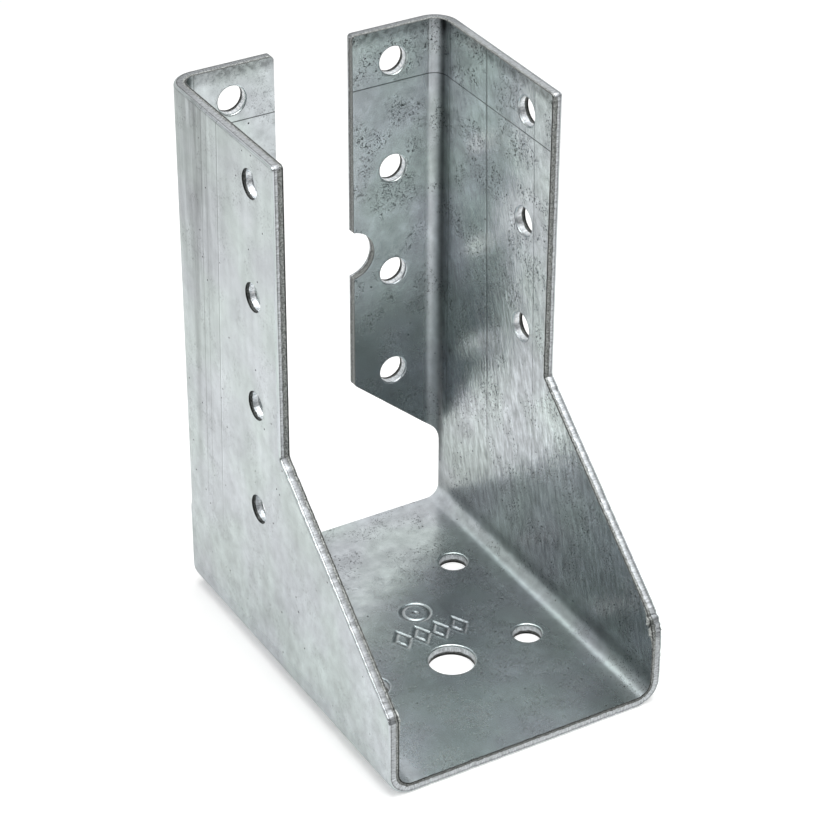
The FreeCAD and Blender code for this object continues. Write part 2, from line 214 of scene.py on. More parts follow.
class HangerStage(bpy.types.PropertyGroup):
    """The camera of the photograph, the floor and the light."""

    floor_colour: colour("Floor", "Colour of the floor", linear("F4F4F3"))
    top_power: number("Top softbox", "Power of the softbox over the hanger, in watts", 1.15)
    front_power: number("Front softbox", "Power of the softbox in front of it, in watts", 0.9)
    world_light: share("World light", "Strength of the studio's own light", 0.40)
    room_shade: share("Room shade", "How much darker than white metal sees the room in front", 0.78)
    side_shade: share("Side shade", "The same for the room high on the left", 0.30)
    floor_glow: share("Floor glow", "Lifts the floor to white for the camera", 0.33)
    floor_gloss: share("Floor gloss", "The same for the floor that the metal mirrors", 0.12)
    azimuth: angle("Azimuth", "Camera's way round the hanger from in front", math.radians(-30.49))
    elevation: angle("Elevation", "Camera's height above the horizon", math.radians(32.26))
    roll: angle("Roll", "Camera's turn about its own axis", math.radians(0.25))
    distance: length("Distance", "Camera to the point it looks at", 0.460)
    lens: number("Lens", "Focal length in mm on a 36 mm sensor", 125.8)
    target: point(
        "Target", "Point looked at, from the header face's foot", (-0.00602, -0.04499, 0.05188))


class Blank:
    """The flat blank and its fold.

    A point of the blank has s, measured along the sheet from the middle of the seat up into a cheek
    (positive on the right), and v, measured from front to back and round into a flange. Both are
    lengths on the middle of the sheet."""

    def __init__(self, fold):
        low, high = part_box(CAD_NODE)
        self.sizes = fold
        self.half = fold.sheet_thickness / 2
        self.radius = fold.bend_radius + self.half
        self.bend = self.radius * math.pi / 2
        self.front, self.header, self.top = low.y, high.y, high.z
        self.flat_edge = high.x - fold.sheet_thickness - fold.bend_radius
        self.cheek_start = self.flat_edge + self.bend
        self.bend_line = self.header - fold.sheet_thickness - fold.bend_radius
        self.flange_start = self.bend_line + self.bend
        self.raw_edge = self.header - fold.back_setback

    def up(self, z):
        """s of a point of a cheek at a height."""
        return self.cheek_start + z - self.sizes.sheet_thickness - self.sizes.bend_radius

    def across(self, x):
        """v of a point of a flange at a distance from the hanger's middle."""
        return self.flange_start + self.flat_edge - x

    def fold(self, s, v, h):
        """Places on the hanger of points of the blank. h is OUTER or INNER on the skins."""
        side = np.where(s < 0, -1.0, 1.0)
        along = np.abs(s)
        turn = np.clip((along - self.flat_edge) / self.radius, 0, math.pi / 2)
        x = np.minimum(along, self.flat_edge) + self.radius * np.sin(turn)
        z = self.half + self.radius * (1 - np.cos(turn)) + np.maximum(along - self.cheek_start, 0)

        # Under the relief the strip behind the bend line stays flat, and dies into the bend above.
        fixed = self.sizes.relief_height - self.sizes.run_out
        fixed = fixed + np.where(s < 0, self.sizes.left_rise, 0)
        bent = np.clip((z - fixed) / self.sizes.run_out, 0, 1)
        curl = np.maximum(bent * bent * (3 - 2 * bent), 1e-4) / self.radius
        swing = np.clip(v - self.bend_line, 0, self.bend) * curl
        beyond = np.maximum(v - self.flange_start, 0)
        x = x - (1 - np.cos(swing)) / curl - beyond * np.sin(swing)
        y = np.minimum(v, self.bend_line) + np.sin(swing) / curl + beyond * np.cos(swing)

        offset = h * self.half
        x = x - offset * np.sin(turn) * np.cos(swing)
        y = y - offset * np.sin(swing)
        z = z + offset * np.cos(turn)
        return np.column_stack([side * x, y, z])


def round_corner(before, corner, after, radius, step):
    """Points of the arc that rounds a corner, or the corner itself where the radius is 0."""
    corner = np.array(corner, float)
    if radius <= 0:
        return [corner]
    into = np.array(before, float) - corner
    out = np.array(after, float) - corner
    into /= np.linalg.norm(into)
    out /= np.linalg.norm(out)
    half = math.acos(np.clip(into @ out, -1, 1)) / 2
    middle = (into + out) / np.linalg.norm(into + out)
    centre = corner + middle * radius / math.sin(half)
    first = corner + into * radius / math.tan(half) - centre
    last = corner + out * radius / math.tan(half) - centre
    sweep = math.pi - 2 * half
    steps = max(4, math.ceil(sweep * radius / step))
    points = []
    for i in range(steps + 1):
        t = i / steps
        reach = first * math.sin((1 - t) * sweep) + last * math.sin(t * sweep)
        points.append(centre + reach / math.sin(sweep))
    return points


def divide(points, step):
    """The closed outline with its long straight stretches divided."""
    result = []
    for a, b in zip(points, points[1:] + points[:1]):
        parts = max(1, math.ceil(np.linalg.norm(b - a) / step - 0.5))
        result.extend(a + (b - a) * i / parts for i in range(parts))
    return np.array(result)


def half_outline(blank, fold, punching, step):
    """Corners of one half of the blank from the nose to the relief, each with its radius."""
    cheek_front = blank.header - fold.cheek_depth
    flange_edge = blank.across(fold.flange_gap / 2)
    corners = [
        (blank.up(fold.nose_height), blank.front, fold.nose_radius),
        (blank.up(fold.kink_height), cheek_front, fold.kink_radius),
        (blank.up(blank.top), cheek_front, fold.corner_radius),
        (blank.up(blank.top), flange_edge, fold.corner_radius),
    ]
    radius = punching.notch_diameter / 2
    centre_s = blank.up(punching.notch_height)
    centre_v = flange_edge + punching.notch_offset
    reach = math.acos(punching.notch_offset / radius)
    steps = math.ceil(2 * reach * radius / step)
    for i in range(steps + 1):
        turn = reach * (1 - 2 * i / steps)
        corners.append((centre_s + radius * math.sin(turn), centre_v - radius * math.cos(turn), 0))
    corners += [
        (blank.up(fold.toe_height), flange_edge, fold.corner_radius),
        (blank.up(fold.toe_at_bend), blank.flange_start, fold.relief_radius),
        (blank.up(fold.relief_height), blank.raw_edge, fold.relief_radius),
    ]
    return corners


def outline_loop(blank, fold, punching, step):
    """The blank's outline, counter-clockwise in (s, v)."""
    right = half_outline(blank, fold, punching, step)
    left = [(-s, v, radius) for s, v, radius in reversed(right)]
    corners = right + left
    points = []
    for i, (s, v, radius) in enumerate(corners):
        before = corners[i - 1][:2]
        after = corners[(i + 1) % len(corners)][:2]
        points += round_corner(before, (s, v), after, radius, step)
    return divide(points, step)


def hole_loop(centre, diameter, step):
    """A round hole, clockwise, so that the sheet lies to the left of its edge as well."""
    steps = math.ceil(math.pi * diameter / step)
    turn = -2 * math.pi * np.arange(steps) / steps
    return np.array(centre) + diameter / 2 * np.column_stack([np.cos(turn), np.sin(turn)])


def hole_list(blank, punching):
    """Centre (s, v) and diameter of each round hole."""
    holes = []
    for side, rows in ((1, punching.right_rows), (-1, punching.left_rows)):
        cheek_v = blank.header - punching.cheek_setback
        flange_v = blank.across(punching.header_spacing / 2)
        for v, nails in ((cheek_v, rows), (flange_v, punching.header_rows)):
            for row in range(nails):
                z = blank.top - punching.top_drop - row * punching.nail_pitch
                holes.append(((side * blank.up(z), v), punching.nail_diameter))
    row_v = blank.header - punching.row_setback
    rear_v = blank.header - punching.rear_setback
    holes.append(((punching.seat_shift, row_v), punching.bolt_diameter))
    for v in (row_v, rear_v):
        for side in (-1, 1):
            s = punching.seat_shift + side * punching.seat_spacing / 2
            holes.append(((s, v), punching.nail_diameter))
    return holes


def inward_normals(loop):
    """Unit directions into the sheet at each point of a loop, lengthened at sharp corners."""
    ahead = np.roll(loop, -1, axis=0) - loop
    ahead /= np.linalg.norm(ahead, axis=1)[:, None]
    left = np.column_stack([-ahead[:, 1], ahead[:, 0]])
    total = left + np.roll(left, 1, axis=0)
    return total / np.maximum((total * total).sum(axis=1) / 2, 0.5)[:, None]


def edge_noise(loop, size, seed):
    """A smooth random value from about -1 to 1 at each point of a loop, in waves of a size."""
    return np.array([noise.noise(Vector((s / size, v / size, seed))) for s, v in loop])


class Edge:
    """The wall of one loop, as rows of points from one skin to the other.

    The rows run from the face that the tool struck to the face where the metal broke: a rolled
    lip, a burnished band, a rough broken band and a small burr. Each row has an inset into the
    sheet, a depth below the struck skin, of which the sheet has 2, and a finish."""

    def __init__(self, loop, roll, lip, depth, roughness, struck, burr=0.0):
        self.loop = loop
        self.normal = inward_normals(loop)
        self.inset = roll + GRIP
        self.struck = struck
        rows = [(self.inset, 0.0, ZINC)]
        for i in range(LIP_STEPS + 1):
            t = i / LIP_STEPS * math.pi / 2
            rows.append((roll * (1 - math.sin(t)), 2 * lip * (1 - math.cos(t)), ZINC))
        broken = 2 * (1 - depth) + 0.16 * edge_noise(loop, 0.0007, 3.1 + struck)
        rows.append((0.0, broken - 0.05, BURNISHED))
        for below, deeper, mean, swing, size, seed in BROKEN_ROWS:
            inset = roughness * (mean + swing * edge_noise(loop, size, seed))
            rows.append((inset, 2 - (2 - broken) * below + deeper, BROKEN))
        jagged = burr * (0.7 + 1.2 * edge_noise(loop, 0.0008, 7.3))
        rows[-1] = (inset, 2.0 + np.maximum(jagged, 0), BROKEN)
        rows.append((self.inset, 2.0, ZINC))
        self.rows = [
            (np.clip(inset, 0.0, self.inset), height, finish) for inset, height, finish in rows]

    def ring(self, index):
        """(s, v, h) of one row's points."""
        inset, height, _ = self.rows[index]
        points = self.loop + self.normal * np.broadcast_to(inset, len(self.loop))[:, None]
        h = self.struck - np.sign(self.struck) * np.broadcast_to(height, len(self.loop))
        return points[:, 0], points[:, 1], h


def grid_lines(flat_low, flat_high, bends, step, bend_steps):
    """Coordinates of grid lines, closer together inside the bends."""
    lines = []
    place = flat_low
    for low, high in bends:
        lines.append(np.linspace(place, low, max(2, round((low - place) / step)), endpoint=False))
        lines.append(np.linspace(low, high, bend_steps, endpoint=False))
        place = high
    lines.append(np.linspace(place, flat_high, max(2, round((flat_high - place) / step))))
    return np.concatenate(lines)


def skin_grid(blank, edge):
    """Points inside the blank's box, denser in the bends and under the stamp."""
    s_high = blank.up(blank.top)
    s_bends = [(-blank.cheek_start, -blank.flat_edge), (blank.flat_edge, blank.cheek_start)]
    s_lines = grid_lines(-s_high, s_high, s_bends, edge.skin_step, edge.bend_steps)
    v_bends = [(blank.bend_line, blank.flange_start)]
    v_lines = grid_lines(blank.front, blank.across(0), v_bends, edge.skin_step, edge.bend_steps)
    stamp_lines = [np.arange(low, high, STAMP_STEP) for low, high in zip(STAMP_LOW, STAMP_HIGH)]
    grid = np.array(np.meshgrid(s_lines, v_lines)).reshape(2, -1).T
    fine = np.array(np.meshgrid(*stamp_lines)).reshape(2, -1).T
    under_stamp = ((grid > STAMP_LOW) & (grid < STAMP_HIGH)).all(axis=1)
    return np.vstack([grid[~under_stamp], fine])


def stamp_strokes(s, v):
    """Distance of points of the blank to the nearest stroke of the stamp."""
    cos, sin = math.cos(STAMP_TURN), math.sin(STAMP_TURN)
    s = s - (STAMP_LOW[0] + STAMP_HIGH[0]) / 2
    v = v - (STAMP_LOW[1] + STAMP_HIGH[1]) / 2
    across, behind = s * cos + v * sin, v * cos - s * sin
    dot = np.hypot(across, behind - DOT_OFFSET)
    nearest = np.minimum(dot, np.abs(dot - RING_RADIUS))
    for lozenge in range(LOZENGES):
        place = (lozenge - (LOZENGES - 1) / 2) * PITCH
        reach = np.abs(across - place) / HALF_WIDTH + np.abs(behind + ROW_OFFSET) / HALF_LENGTH
        nearest = np.minimum(nearest, np.abs(reach - 1) * HALF_BREADTH)
    return nearest


def stamp_relief(s, v):
    """How far the stamp moves the seat's upper skin: a groove with a low raised rim."""
    distance = stamp_strokes(s, v) / STROKE
    groove = -np.clip(1 - distance, 0, 1) ** 0.7
    rim = 0.22 * np.exp(-((distance - 1.35) / 0.35) ** 2)
    return STAMP_DEPTH * (groove + rim)


def triangulate(loops, grid, holes):
    """Triangles between the loops, as points, triangles and the numbers of each loop's points."""
    ring = np.vstack(loops)
    clear = np.ones(len(grid), bool)
    for start in range(0, len(grid), BATCH):
        part = grid[start:start + BATCH]
        gap = np.hypot(*(part[:, None] - ring).T).min(axis=0)
        clear[start:start + BATCH] = gap > CLEARANCE
    points = np.vstack([ring, grid[clear]])
    edges = []
    first = 0
    for loop in loops:
        edges += [(first + i, first + (i + 1) % len(loop)) for i in range(len(loop))]
        first += len(loop)
    made, _, triangles, origins, _, _ = delaunay_2d_cdt(
        [Vector(p) for p in points], edges, [], 1, 1e-9)
    made = np.array([p[:] for p in made])
    triangles = np.array(triangles)
    centres = made[triangles].mean(axis=1)
    solid = np.ones(len(triangles), bool)
    for centre, radius in holes:
        solid &= np.hypot(*(centres - centre).T) > radius
    new_number = np.empty(len(points), int)
    for new, olds in enumerate(origins):
        new_number[olds] = new
    used, triangles = np.unique(triangles[solid], return_inverse=True)
    on_ring = np.searchsorted(used, new_number[:len(ring)])
    rings = np.split(on_ring, np.cumsum([len(loop) for loop in loops])[:-1])
    return made[used], triangles.reshape(-1, 3), rings


def sheet_edges(blank, fold, punching, edge):
    """The walls of the outline and of every hole."""
    outline = outline_loop(blank, fold, punching, edge.edge_step)
    along = np.abs(outline[:, 0])
    cut_at_top = along > blank.up(blank.top) - fold.corner_radius
    cut_at_gap = outline[:, 1] > blank.across(fold.flange_gap / 2) - punching.notch_diameter / 2
    ahead = outline[:, 1] < blank.header - fold.cheek_depth - SLACK
    slant = ahead & (along < blank.up(fold.kink_height))
    roll = np.full(len(outline), edge.shear_roll)
    roughness = np.full(len(outline), edge.roughness)
    torn_off, nicks, burr = np.zeros((3, len(outline)))
    sides = zip((LEFT, RIGHT), edge.nose_tear, edge.nose_nicks, edge.nose_burr)
    for side, tear, nick, height in sides:
        nose = np.array((side * blank.up(fold.nose_height), blank.front))
        near_nose = np.exp(-(np.linalg.norm(outline - nose, axis=1) / edge.nose_reach) ** 2)
        roll += tear * near_nose
        roughness += nick * 0.4 * near_nose
        torn_off += near_nose
        burr += height / blank.half * near_nose
        nicks += nick * near_nose
    uneven = edge_noise(outline, 0.0009, 0.4) + 0.8 * edge_noise(outline, 0.0005, 2.7)
    roll *= 1 + np.where(slant, 0.20, 0.10) * uneven
    nicks *= np.abs(edge_noise(outline, 0.0005, 6.3)) * 2
    struck_out = np.clip(edge_noise(outline, 0.0005, 4.6), 0, 1) * 2
    nicks += np.where(slant, edge.slant_nicks, 0) * struck_out
    torn = outline + inward_normals(outline) * nicks[:, None]
    depth = np.where(cut_at_gap, edge.flange_depth, edge.shear_depth)
    depth = np.where(slant, edge.slant_depth, depth)
    depth = np.where(cut_at_top, edge.top_depth, depth)
    depth = depth + (edge.torn_depth - depth) * np.clip(torn_off, 0, 1)
    edges = [Edge(torn, roll, edge.lip_height, depth, roughness, OUTER, burr)]
    roll, lip, depth = edge.punch_roll, edge.lip_height, edge.punch_depth
    for centre, diameter in hole_list(blank, punching):
        loop = hole_loop(centre, diameter, edge.edge_step)
        edges.append(Edge(loop, roll, lip, depth, edge.roughness, INNER))
    return edges


def sheet_mesh(blank, fold, punching, edge):
    """The mesh of the whole folded sheet."""
    walls = sheet_edges(blank, fold, punching, edge)
    inset = walls[-1].inset
    holes = [(centre, diameter / 2 + inset) for centre, diameter in hole_list(blank, punching)]
    loops = [np.column_stack(wall.ring(0)[:2]) for wall in walls]
    flat, triangles, rings = triangulate(loops, skin_grid(blank, edge), holes)
    s, v = flat.T
    raised = INNER + stamp_relief(s, v) / blank.half

    # Each block of points has s, v, h, the skin, and 1 where a punch cut them.
    blocks = [(s, v, OUTER, OUTER, 0.0), (s, v, raised, INNER, 0.0)]
    total = 2 * len(flat)
    faces = [triangles[:, ::-1], triangles + len(flat)]
    slots = [np.full(2 * len(triangles), ZINC)]
    for wall, ring in zip(walls, rings):
        skin_rings = (ring, ring + len(flat))
        previous, broken_ring = skin_rings if wall.struck == OUTER else skin_rings[::-1]
        for index in range(1, len(wall.rows)):
            current = broken_ring
            if index < len(wall.rows) - 1:
                ring_s, ring_v, ring_h = wall.ring(index)
                blocks.append((ring_s, ring_v, ring_h, ring_h, float(wall.struck == INNER)))
                current = total + np.arange(len(ring))
                total += len(ring)
            next_pair = np.roll([previous, current], -1, axis=1)
            quad = np.column_stack([previous, *next_pair, current])
            faces.append(quad if wall.struck == OUTER else quad[:, ::-1])
            slots.append(np.full(len(ring), wall.rows[index][2]))
            previous = current

    points = np.vstack([np.column_stack(np.broadcast_arrays(*block)) for block in blocks])
    s, v, h, skin, punched = points.T.copy()
    faces = [tuple(corners) for block in faces for corners in block.tolist()]
    mesh = bpy.data.meshes.new("hanger_sheet")
    mesh.from_pydata(blank.fold(s, v, h).tolist(), [], faces)
    mesh.polygons.foreach_set("material_index", np.concatenate(slots).astype(np.int32))
    add_blank_uv(mesh, points[:, :2])
    # How near a point of the inner skin lies to a stroke of the stamp, where the zinc gets painted
    # shade.
    strokes = stamp_strokes(s, v) / STROKE
    stamped = np.exp(-strokes ** 2) * (skin == INNER)
    for name, values in (("skin", skin), ("stamped", stamped), ("punched", punched)):
        mesh.attributes.new(name, "FLOAT", "POINT").data.foreach_set("value", values)
    mesh.shade_smooth()
    mesh.set_sharp_from_angle(angle=math.radians(38))
    mesh.validate()
    return mesh


def add_blank_uv(mesh, places):
    """A UV map that is the flat blank itself, so that the rolling grain follows the folds."""
    corners = np.empty(len(mesh.loops), np.int32)
    mesh.loops.foreach_get("vertex_index", corners)
    layer = mesh.uv_layers.new(name="blank")
    layer.data.foreach_set("uv", (0.5 + places[corners] / UV_SPAN).ravel())


def new_material(name):
    """A material and its nodes."""
    material = bpy.data.materials.new(name)
    material.use_nodes = True
    return material, Nodes(material.node_tree)


def waves(place, size, detail, roughness=0.5, distortion=0.0):
    """Inputs of a noise whose waves have a size in millimetres."""
    return {
        "Vector": place, "Scale": 1 / size, "Detail": detail, "Roughness": roughness,
        "Distortion": distortion}


def ranges(value, start, end, low, high):
    """Inputs that take a value from one range to another."""
    return {"Value": value, "From Min": start, "From Max": end, "To Min": low, "To Max": high}


class Nodes:
    """A node tree, with one way to add a node, its settings and its links."""

    def __init__(self, tree):
        self.tree = tree
        self.shader = tree.nodes.get("Principled BSDF")

    def add(self, kind, inputs=(), output=0, **settings):
        """Adds a node and returns one of its outputs.

        An input's value is a number, a colour or another node's output."""
        node = self.tree.nodes.new(f"ShaderNode{kind}")
        for key, value in settings.items():
            setattr(node, key, value)
        for key, value in dict(inputs).items():
            self.feed(node.inputs[key], value)
        return node.outputs[output]

    def feed(self, socket, value):
        """Links an output into a socket, or sets the socket's value."""
        if isinstance(value, bpy.types.NodeSocket):
            self.tree.links.new(value, socket)
        else:
            socket.default_value = value

    def product(self, *values):
        """The product of several values."""
        result = values[0]
        for value in values[1:]:
            result = self.add("Math", {0: result, 1: value}, operation="MULTIPLY")
        return result

    def kept(self, *marks):
        """What share of the brightness is left when each mark has taken its own off."""
        left = [self.add("Math", {0: 1.0, 1: mark}, operation="SUBTRACT") for mark in marks]
        return self.product(*left)

    def fade(self, value, start, end):
        """1 where the value has passed the start and 0 at the end, which may lie on either side."""
        inputs = ranges(value, start, end, 1.0, 0.0)
        return self.add("MapRange", inputs, interpolation_type="SMOOTHSTEP")

    def near(self, value, place, width):
        """1 where the value is at a place, and 0 further from it than the width."""
        gap = self.add("Math", {0: value, 1: place}, operation="SUBTRACT")
        return self.fade(self.add("Math", {0: gap}, operation="ABSOLUTE"), 0.0, width)


class SheetPlace:
    """Where a point of the finish lies on the blank, in millimetres, and on which skin."""

    def __init__(self, nodes, skins_apart):
        self.nodes = nodes
        uv = nodes.add("UVMap", uv_map="blank")
        span = UV_SPAN * MM
        flat = nodes.add("VectorMath", {0: uv, 1: (-0.5, -0.5, 0)}, operation="ADD")
        flat = nodes.add("VectorMath", {0: flat, 1: (span, span, 0)}, operation="MULTIPLY")
        self.skin = nodes.add("Attribute", attribute_name="skin", output="Fac")
        apart = nodes.add("CombineXYZ", {"Z": nodes.product(self.skin, skins_apart / 2)})
        self.point = nodes.add("VectorMath", {0: flat, 1: apart}, operation="ADD")
        split = nodes.add("SeparateXYZ", {"Vector": flat})
        self.s = split
        self.v = split.node.outputs["Y"]
        self.along = nodes.add("Math", {0: self.s}, operation="ABSOLUTE")
        self.on_skin = {
            INNER: nodes.fade(self.skin, INNER, OUTER), OUTER: nodes.fade(self.skin, OUTER, INNER)}
        self.on_side = {
            RIGHT: nodes.fade(self.s, RIGHT, LEFT), LEFT: nodes.fade(self.s, LEFT, RIGHT)}

    def past_s(self, start, end):
        """1 where the way from the seat's middle has passed the start, and 0 at the end."""
        return self.nodes.fade(self.along, start, end)

    def past_v(self, start, end):
        """The same for the way from front to back."""
        return self.nodes.fade(self.v, start, end)


def zinc_marks_and_painted_light(nodes, place, blank):
    """What share of the zinc's brightness the marks of making and handling leave, with painted
    shade and painted highlights among them.
    """
    top, header = blank.up(blank.top) * MM, blank.header * MM
    bend_line, flange_start = blank.bend_line * MM, blank.flange_start * MM
    bend = blank.bend * MM
    inner, outer = place.on_skin[INNER], place.on_skin[OUTER]
    left, right = place.on_side[LEFT], place.on_side[RIGHT]
    past_s, past_v, near = place.past_s, place.past_v, nodes.near
    marks = []

    def mark(depth, *masks):
        """A mark takes a share off the brightness, or adds one where its depth is below 0."""
        marks.append(nodes.product(*masks, depth))

    # A line scribed across both flanges and cheeks, 10 mm under the top edge.
    mark(0.85, near(place.along, top - 9.9, 0.16), inner)

    # Grease and zinc dust that stayed behind along the top edge, and painted shade in the hollow of
    # the bend to the flange.
    smudge = nodes.add("TexNoise", waves(place.point, SMUDGE, 4))
    mark(0.35, past_s(top - 0.5, top - 2.6), inner)
    mark(0.35, past_s(top - 0.9, top - 2.8), inner, nodes.fade(smudge, 0.62, 0.40))
    # Painted shade: the hollow of the bend to the flange is darker in colour, most of all near the
    # top.
    painted_bend_shade = nodes.product(near(place.v, bend_line + bend * 0.25, 1.7), inner)
    mark(0.60, painted_bend_shade, past_s(36, 30))
    mark(0.75, painted_bend_shade, past_s(top - 1.0, top - 4.5))
    # Painted shade: a thin dark line on the cheek where the bend to the flange starts.
    mark(0.60, near(place.v, bend_line - bend * 0.15, 0.16), inner, past_s(45, 32))

    # Painted shade low on the cheeks' inner side, most of it at the front of the right one.
    low = nodes.product(past_s(32, 52), past_s(25, 22), inner)
    mark(0.25, low)
    mark(0.26, low, past_v(header - 64, header - 46), right)

    # Painted shade on a strip of each cheek ahead of the bend to the flange, and a painted
    # highlight on the foot of each flange.
    beside = nodes.product(past_v(bend_line, bend_line - 10), past_v(bend_line, bend_line + 1))
    mark(0.28, beside, past_s(56, 44), inner)
    mark(-0.30, past_v(flange_start + 1, flange_start - 1), past_s(40, 60), inner)

    # A painted highlight: a paler patch under the right kink.
    mark(-0.34, near(place.along, 60, 9), near(place.v, header - 38, 8), inner, right)

    # Painted shade on the seat behind and painted light on it in front, and painted light on the
    # left cheek's outside in front.
    mark(0.09, past_v(header - 30, header - 52), past_s(20, 24), inner)
    mark(-0.10, past_v(header - 62, header - 50), past_s(20, 24), inner)
    mark(-0.09, past_v(header - 32, header - 22), outer, left, past_s(75, 50))

    # A painted highlight along the seat's bends, with a strip of painted shade beyond them.
    mark(-0.34, near(place.along, blank.flat_edge * MM + bend * 0.65, 2.8), inner)
    mark(0.32, near(place.along, blank.cheek_start * MM + 1.2, 2.8), inner)

    # A nick of the forming tool beside the bend to the flange, near the top.
    tooled = nodes.product(inner, past_s(top - 12.0, top - 14.5))
    nick_v = flange_start - bend * 0.06
    mark(0.45, near(place.v, nick_v, 0.20), tooled)
    mark(-0.25, near(place.v, nick_v - 0.45, 0.20), tooled)

    # The die lines die out towards the seat. The back of the left cheek is worn dull along them.
    lean = nodes.add("Math", {0: place.s, 1: -DIE_LEAN, 2: place.v}, operation="MULTIPLY_ADD")
    drawn_out = nodes.add("Mapping", {"Vector": place.point, "Scale": (0.08, 1, 1)})
    rubbed = nodes.add("TexNoise", waves(drawn_out, RUB, 4, 0.6))
    worn = nodes.product(past_s(100, 65), nodes.fade(rubbed, 0.60, 0.35))
    mark(0.36, near(lean, header - 7.0, 10.0), outer, left, worn)
    drawn = past_s(62, 34)
    for skin, side, setback, width, depth in DIE_LINES:
        line = near(lean, header - setback, width)
        mark(depth, line, place.on_skin[skin], place.on_side[side], drawn)
    # Painted shade in the stamp's grooves: the zinc is darker along its strokes.
    mark(0.45, nodes.add("Attribute", attribute_name="stamped", output="Fac"))
    return nodes.kept(*marks)


def zinc_texture(nodes, place, cheek):
    """The zinc's grain: blotches, slanting streaks 4 mm long inside the cheeks, and long bands
    outside them."""
    blotches = nodes.add("TexNoise", waves(place.point, BLOTCH, 4, 0.6))
    turned = nodes.add("Mapping", {"Vector": place.point, "Rotation": (0, 0, STREAK_TURN)})
    slanted = nodes.add("Mapping", {"Vector": turned, "Scale": (0.28, 1, 1)})
    streaks = nodes.add("TexNoise", waves(slanted, STREAK, 5, 0.68))
    drawn = nodes.add("Mapping", {"Vector": place.point, "Scale": (0.03, 1, 1)})
    bands = nodes.add("TexNoise", waves(drawn, BAND, 3, 0.5))
    inside = nodes.add("MapRange", ranges(place.along, 60, 100, 0.85, 0.45))
    inside = nodes.product(cheek, place.on_skin[INNER], inside)
    outside = nodes.add("MapRange", ranges(place.along, 40, 90, 0.15, 0.6))
    outside = nodes.product(cheek, place.on_skin[OUTER], outside)
    texture = nodes.add("Mix", {"Factor": inside, "A": blotches, "B": streaks})
    return nodes.add("Mix", {"Factor": outside, "A": texture, "B": bands})


def zinc_specks(nodes, place):
    """How dark the curly specks, which come in clusters, and the round pits are."""
    curls = nodes.add("TexNoise", waves(place.point, SPECK, 2, distortion=1.2))
    clusters = nodes.add("TexNoise", waves(place.point, CLUSTER, 3))
    strewn = nodes.add("MapRange", ranges(place.along, 30, 100, 1.0, 1.4))
    thick = nodes.add(
        "Math", {0: place.on_side[RIGHT], 1: place.past_s(22, 30)}, operation="MAXIMUM")
    thick = nodes.product(place.on_skin[INNER], thick)
    seated = nodes.add("MapRange", ranges(thick, 0, 1, 0.35, 1.0))
    curls, clusters = nodes.fade(curls, 0.62, 0.57), nodes.fade(clusters, 0.60, 0.45)
    specks = nodes.product(curls, clusters, seated, strewn, 0.6)
    cells = {"Vector": place.point, "Scale": 1 / PIT}
    cells = nodes.add("TexVoronoi", cells, feature="F1")
    chosen = nodes.add("SeparateColor", {"Color": cells.node.outputs["Color"]})
    pits = nodes.product(nodes.fade(cells, 0.05, 0.09), nodes.fade(chosen, 0.50, 0.45), 0.85)
    return nodes.add("Math", {0: specks, 1: pits}, operation="MAXIMUM")


def finish_metal(nodes, colour, kept, roughness, relief):
    """Feeds a metal's shader its colour, the share of brightness that its marks leave, its
    roughness, and its relief in millimetres."""
    shade = nodes.add("VectorMath", {0: colour, "Scale": kept}, operation="SCALE")
    bump = nodes.add("Bump", {"Height": relief, "Distance": 1 / MM, "Strength": 1.0})
    values = {"Base Color": shade, "Metallic": 1.0, "Roughness": roughness, "Normal": bump}
    for name, value in values.items():
        nodes.feed(nodes.shader.inputs[name], value)


